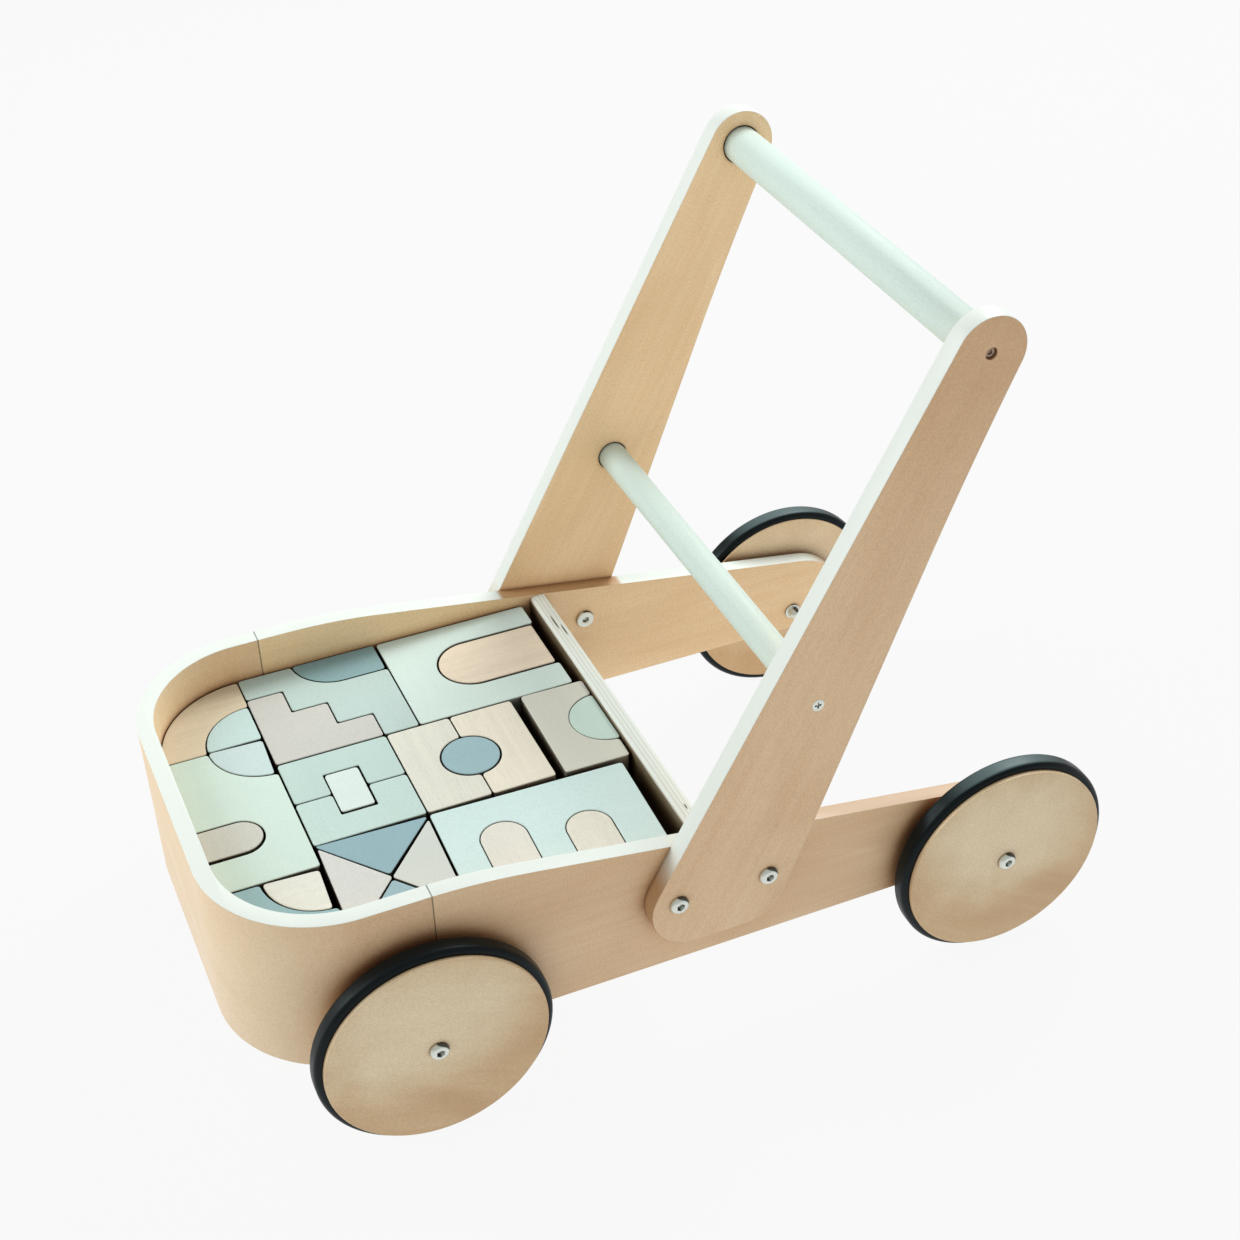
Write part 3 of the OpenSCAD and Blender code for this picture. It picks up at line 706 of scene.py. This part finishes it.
def make_wheels():
    # The rear tyres carry a bright painted sheen on top, the front ones almost none
    skins = {"front": rubber("front_tyre_rubber", srgb(9, 12, 14)),
             "rear": rubber("rear_tyre_rubber", srgb(84, 100, 100))}
    for end, tyre_skin in skins.items():
        for side_name, side in (("left", 1), ("right", -1)):
            place = end + "_" + side_name
            low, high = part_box("wheel_" + place)
            t_low, t_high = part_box("tyre_" + place)
            centre = (low + high) / 2
            centre.x = 0
            inner = min(abs(low.x), abs(high.x))
            outer = max(abs(low.x), abs(high.x))
            t_in = min(abs(t_low.x), abs(t_high.x))
            t_out = max(abs(t_low.x), abs(t_high.x))
            r = (high.z - low.z) / 2
            t_r = (t_high.z - t_low.z) / 2
            seat = r - 3 * MM
            tyre_seat = seat + 0.2 * MM
            bore = 3.05 * MM
            soft = 0.7 * MM
            disc = [(outer - 0.4 * MM, bore), (outer, bore + 0.4 * MM)]
            disc += arc(outer - soft, r - soft, soft, 0, 90, 5)
            disc += [(t_out, r), (t_out, seat), (t_in, seat), (t_in, r)]
            disc += arc(inner + soft, r - soft, soft, 90, 180, 5)
            disc += [(inner, bore + 0.4 * MM), (inner + 0.4 * MM, bore)]
            disc.append(disc[0])
            obj = lathe("wheel_" + place + "_look", [(centre, side, disc)], 192)
            spin = math.radians({"front_left": 20, "rear_left": 35}.get(place, 75))
            veneer = plywood("birch_wheel_" + place, "xyz", through_x, 31.0 + 7 * len(place),
                             (spin, 0, 0), (0.84, 0.83, 0.75, 1), reach=12 * MM, figure=0.6,
                             painted_light=painted_wheel_sheen(centre))
            stand_for(obj, "wheel_" + place, veneer)
            big = 3.4 * MM
            tyre = [(t_out, tyre_seat)]
            tyre += arc(t_out - big, t_r - big, big, 0, 90, 10)
            tyre += arc(t_in + big, t_r - big, big, 90, 180, 10)
            tyre += [(t_in, tyre_seat), (t_out, tyre_seat)]
            obj = lathe("tyre_" + place + "_look", [(centre, side, tyre)], 192)
            stand_for(obj, "tyre_" + place, tyre_skin)


# ---------------------------------------------------------------- fasteners

# Domed head: outside radius and height, the flat round its socket, the upright rim, the socket
HEAD_R = 5.75 * MM
HEAD_H = 3.2 * MM
SHANK_R = 3 * MM
SHOULDER_R = 3 * MM
SHOULDER_H = 0.7 * MM
KEY_R = 2.1 * MM
KEY_DEPTH = 2.4 * MM


def domed_bolt(x_seat, x_end):
    """Profile of a low domed bolt whose head sits on x_seat and whose shank ends at x_end."""
    top = x_seat + HEAD_H
    rings = [(top - KEY_DEPTH, 0), (top - KEY_DEPTH, KEY_R * 0.97, HEX), (top - 0.3 * MM, KEY_R, HEX)]
    rings.append((top, KEY_R + 0.25 * MM, HEX))
    for i in range(9):
        a = math.radians(90 * i / 8)
        rings.append((x_seat + SHOULDER_H + (HEAD_H - SHOULDER_H) * math.cos(a),
                      SHOULDER_R + (HEAD_R - SHOULDER_R) * math.sin(a)))
    rings += [(x_seat, HEAD_R - 0.1 * MM), (x_seat, SHANK_R)]
    rings += [(x_end, SHANK_R), (x_end, 0)]
    return rings


def cap_nut(x_face):
    """Profile of a flanged cap nut on x_face, which points towards the middle."""
    flange_r = 5.5 * MM
    flange = 1.5 * MM
    dome_r = 3.75 * MM
    neck = x_face - flange - 2 * MM
    bore_end = neck + 1 * MM
    rings = [(bore_end, 0), (bore_end, SHANK_R), (x_face, SHANK_R)]
    rings += [(x_face, flange_r - 0.2 * MM), (x_face - 0.3 * MM, flange_r)]
    rings += [(x_face - flange + 0.4 * MM, flange_r), (x_face - flange, flange_r - 0.5 * MM)]
    rings += [(x_face - flange, dome_r + 0.3 * MM), (x_face - flange - 0.3 * MM, dome_r)]
    rings += [(neck - dome_r * math.sin(a), dome_r * math.cos(a))
              for a in [math.radians(10 * i) for i in range(9)]]
    rings += [(neck - dome_r, 0)]
    return rings


def sleeve_nut(x_face):
    """Profile of a flat sleeve nut on x_face with a hexagon socket towards the middle."""
    flange_r = 6 * MM
    top = x_face - 2 * MM
    floor = x_face - 0.3 * MM
    rings = [(floor, 0), (floor, KEY_R, HEX), (top + 0.15 * MM, KEY_R, HEX)]
    rings += [(top, KEY_R + 0.2 * MM, HEX), (top, flange_r - 0.7 * MM)]
    rings += [(top + 0.2 * MM, flange_r - 0.2 * MM), (top + 0.6 * MM, flange_r)]
    rings += [(x_face, flange_r), (x_face, 0)]
    return rings


def make_fasteners():
    steel = metal("nickel_steel", srgb(226, 231, 222), srgb(84, 84, 78), 0.36)
    # The steel of the handle screws is painted darker and browner, as painted shade in their deep
    # recesses
    shaded_steel = metal("dark_steel", srgb(176, 150, 132), srgb(110, 88, 72), 0.42)
    shell_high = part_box("front_shell")[1]
    side_in = shell_high.x - 10 * MM
    side_out = shell_high.x
    post_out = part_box("handle_post_left")[1].x
    wheel_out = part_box("wheel_front_left")[1].x
    axles = []
    for place in ("front_left", "rear_left"):
        low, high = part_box("wheel_" + place)
        axles.append(Vector((0, (low.y + high.y) / 2, (low.z + high.z) / 2)))
    bolts_low, bolts_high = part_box("post_bolts")
    front_bolt = Vector((0, bolts_low.y + HEAD_R, bolts_low.z + HEAD_R))
    rear_bolt = Vector((0, bolts_high.y - HEAD_R, bolts_high.z - HEAD_R))
    both = (1, -1)
    gap = 0.3 * MM
    recess = 2.2 * MM
    bolts = [(c, s, domed_bolt(wheel_out + gap, side_in - 1.5 * MM)) for c in axles for s in both]
    stand_for(lathe("axle_bolts_look", bolts, 48), "axle_bolts", steel)
    nuts = [(c, s, cap_nut(side_in)) for c in axles for s in both]
    stand_for(lathe("axle_nuts_look", nuts, 48), "axle_nuts", steel)
    tube_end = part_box("axle_spacers")[1].x
    tube = [(side_out, SHANK_R), (side_out, 6.8 * MM), (side_out + 0.2 * MM, 7 * MM),
            (tube_end - 0.2 * MM, 7 * MM), (tube_end, 6.8 * MM), (tube_end, SHANK_R),
            (side_out, SHANK_R)]
    nylon = painted_wood("spacer_nylon", srgb(226, 226, 222), 3.0, 0.02, 0.4)
    spacers = [(c, s, tube) for c in axles for s in both]
    stand_for(lathe("axle_spacers_look", spacers, 48), "axle_spacers", nylon)
    bolts = [(front_bolt, s, domed_bolt(post_out, side_in + recess)) for s in both]
    bolts += [(rear_bolt, s, domed_bolt(post_out, side_in)) for s in both]
    stand_for(lathe("post_bolts_look", bolts, 48), "post_bolts", steel)
    nuts = [(front_bolt, s, sleeve_nut(side_in + recess)) for s in both]
    nuts += [(rear_bolt, s, sleeve_nut(side_in)) for s in both]
    stand_for(lathe("post_nuts_look", nuts, 48), "post_nuts", steel)
    refined("handle_screws", shaded_steel, 0.25 * MM, 2)
    refined("cross_bar_screws", steel, 0.2 * MM, 2)


# ---------------------------------------------------------------- blocks

# 8-bit colour of each block's paint, and how much of the grain shows through it
BLOCKS = {
    "quarter_arch_peach": (219, 205, 177, 0.5),
    "quarter_disc_mint": (192, 217, 213, 0.1),
    "quarter_disc_ice": (196, 216, 215, 0.1),
    "bridge_green": (206, 227, 216, 0.1),
    "tongue_taupe": (203, 205, 195, 0.12),
    "quarter_arch_slate": (150, 185, 189, 0.12),
    "quarter_disc_cream": (228, 230, 219, 0.35),
    "stair_cradle_mint": (185, 206, 200, 0.1),
    "round_corner_slate": (134, 167, 170, 0.12),
    "stairs_taupe": (198, 199, 192, 0.12),
    "channel_left": (188, 212, 205, 0.1),
    "channel_right": (193, 217, 210, 0.1),
    "brick_ice": (215, 231, 225, 0.08),
    "wedge_left": (144, 177, 185, 0.12),
    "wedge_front": (209, 212, 207, 0.12),
    "wedge_rear": (206, 212, 205, 0.12),
    "wedge_right": (153, 183, 190, 0.12),
    "bridge_mint": (208, 226, 218, 0.1),
    "tongue_peach": (234, 219, 196, 0.5),
    "saddle_front": (224, 224, 211, 0.4),
    "saddle_rear": (231, 226, 208, 0.4),
    "cylinder_slate": (153, 185, 191, 0.12),
    "bridge_taupe": (208, 210, 197, 0.12),
    "half_disc_mint": (197, 220, 209, 0.1),
    "double_bridge_ice": (206, 229, 226, 0.1),
    "arch_front_cream": (224, 223, 212, 0.35),
    "arch_rear_cream": (228, 226, 212, 0.35),
}


def make_blocks():
    for number, (name, (*colour, show)) in enumerate(BLOCKS.items()):
        turn = (0, 0, math.radians(90 if number % 3 else 0))
        paint = painted_wood("block_paint_" + name, srgb(*colour), 40.0 + 3 * number, show,
                             0.58, turn, walls=True)
        rounded_prism("block_" + name, paint, 2.4 * MM, 0.7 * MM)


# ---------------------------------------------------------------- studio

def make_floor():
    bm = bmesh.new()
    bmesh.ops.create_grid(bm, x_segments=8, y_segments=8, size=6.0)
    mesh = bpy.data.meshes.new("studio_floor")
    bm.to_mesh(mesh)
    bm.free()
    floor = new_object("studio_floor", mesh)
    floor.data.materials.append(pale_floor())


def area_light(name, place, target, size, power, colour=(1, 1, 1)):
    data = bpy.data.lights.new(name, "AREA")
    data.shape = "DISK"
    data.size = size
    data.energy = power
    data.color = colour
    obj = bpy.data.objects.new(name, data)
    SCENE.collection.objects.link(obj)
    obj.location = place
    obj.rotation_euler = (Vector(target) - Vector(place)).to_track_quat("-Z", "Y").to_euler()


def make_light():
    world = bpy.data.worlds.new("studio")
    world.use_nodes = True
    background = world.node_tree.nodes["Background"]
    background.inputs["Color"].default_value = (0.97, 0.985, 1.0, 1)
    background.inputs["Strength"].default_value = 0.54
    SCENE.world = world
    middle = (0, 0, 0.15)
    area_light("key", (-1.15, 1.45, 1.8), middle, 1.1, 42, (1, 0.99, 0.97))
    area_light("nose_fill", (-0.9, -1.5, 1.1), middle, 1.4, 20, (1, 0.99, 0.97))


# The camera: where it stands, how it is turned about its own axis, and its lens
CAMERA_AZIMUTH = math.radians(66.889)
CAMERA_ELEVATION = math.radians(37.558)
CAMERA_ROLL = math.radians(-1.167)
CAMERA_TARGET = Vector((0, 0.026675, 0.164621))
CAMERA_DISTANCE = 1.238775


def make_camera():
    flat = math.cos(CAMERA_ELEVATION)
    back = Vector((math.sin(CAMERA_AZIMUTH) * flat, -math.cos(CAMERA_AZIMUTH) * flat,
                   math.sin(CAMERA_ELEVATION)))
    right = (-back).cross(Vector((0, 0, 1))).normalized()
    up = right.cross(-back)
    across = math.cos(CAMERA_ROLL) * right + math.sin(CAMERA_ROLL) * up
    upward = math.cos(CAMERA_ROLL) * up - math.sin(CAMERA_ROLL) * right
    data = bpy.data.cameras.new("camera")
    data.sensor_width = 36
    data.lens = 59.40
    data.shift_x = -0.01697
    data.shift_y = 0.03552
    data.clip_end = 50
    camera = bpy.data.objects.new("camera", data)
    SCENE.collection.objects.link(camera)
    turn = Matrix((across, upward, back)).transposed().to_4x4()
    camera.matrix_world = Matrix.Translation(CAMERA_TARGET + CAMERA_DISTANCE * back) @ turn
    SCENE.camera = camera


make_camera()
make_light()
make_floor()
make_tray()
make_handle()
make_wheels()
make_fasteners()
make_blocks()
SCENE.view_settings.view_transform = "Standard"
